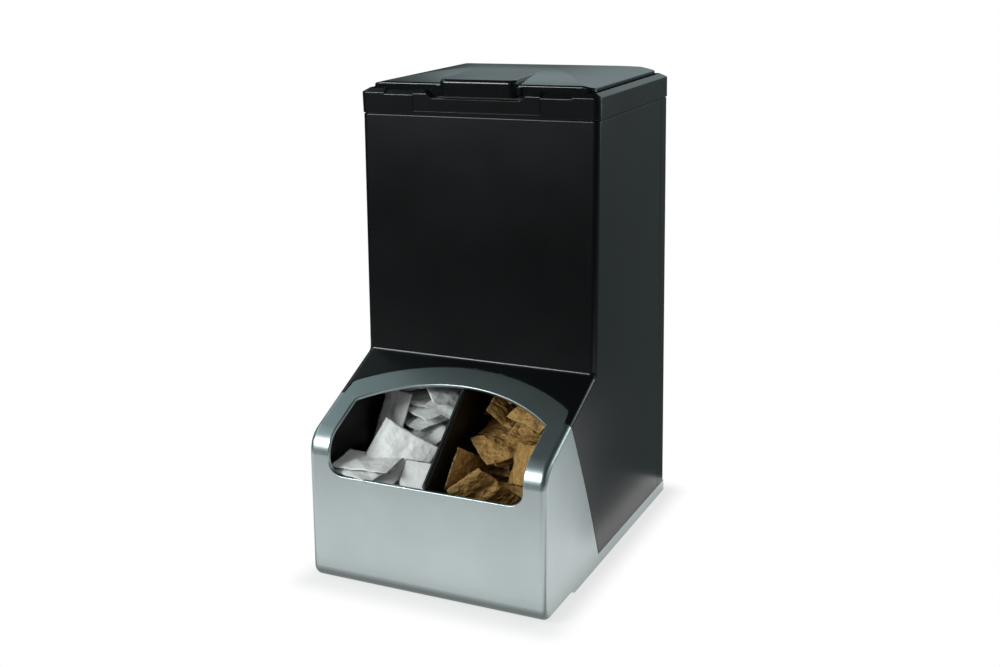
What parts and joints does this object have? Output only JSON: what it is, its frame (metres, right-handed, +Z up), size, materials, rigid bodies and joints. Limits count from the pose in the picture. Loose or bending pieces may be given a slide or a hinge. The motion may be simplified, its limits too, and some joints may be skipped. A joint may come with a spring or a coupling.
{
  "type": "packet dispenser",
  "caption": "Upright counter dispenser for sachets: black hopper column with a hinged fill lid, sloping hood, and a silver fascia with an arched window split by a divider.",
  "frame": {"origin": "middle of the footprint, on the surface that the feet rest on", "axes": "+Z up; the window faces -Y; +X to the viewer's right when the window is faced"},
  "size_m": [0.2412, 0.3198, 0.46],
  "materials": {
    "black_shell": "semi-gloss moulded black",
    "silver_fascia": "silver metallic lacquer, satin",
    "black_tray": "glossy black",
    "steel": "zinc plated",
    "rubber": "matt"
  },
  "bodies": {
    "dispenser": {"housing": "black_shell", "rear_cover": "black_shell", "fascia": "silver_fascia", "base_pan": "black_tray", "collar": "black_shell", "collar_front_plate": "black_shell", "hinge_pin_left": "steel", "hinge_pin_right": "steel", "divider": "black_tray", "divider_guide_front": "black_tray", "divider_guide_rear": "black_tray", "chute_ramp": "black_tray", "ramp_bracket_left": "black_tray", "ramp_bracket_right": "black_tray", "trough": "black_tray", "rubber_feet": "rubber", "foot_screws": "steel", "base_screws": "steel", "rear_cover_screws": "steel", "collar_screws": "steel", "plate_screws": "steel", "trough_screws": "steel", "ramp_screws": "steel"},
    "lid": {"lid": "black_shell", "lid_bumpers": "rubber"}
  },
  "joints": [
    {"name": "lid_hinge", "type": "hinge", "parent": "dispenser", "child": "lid", "pos_m": [0, 0.154, 0.445], "axis": [-1, 0, 0], "range_deg": [0, 105]}
  ]
}
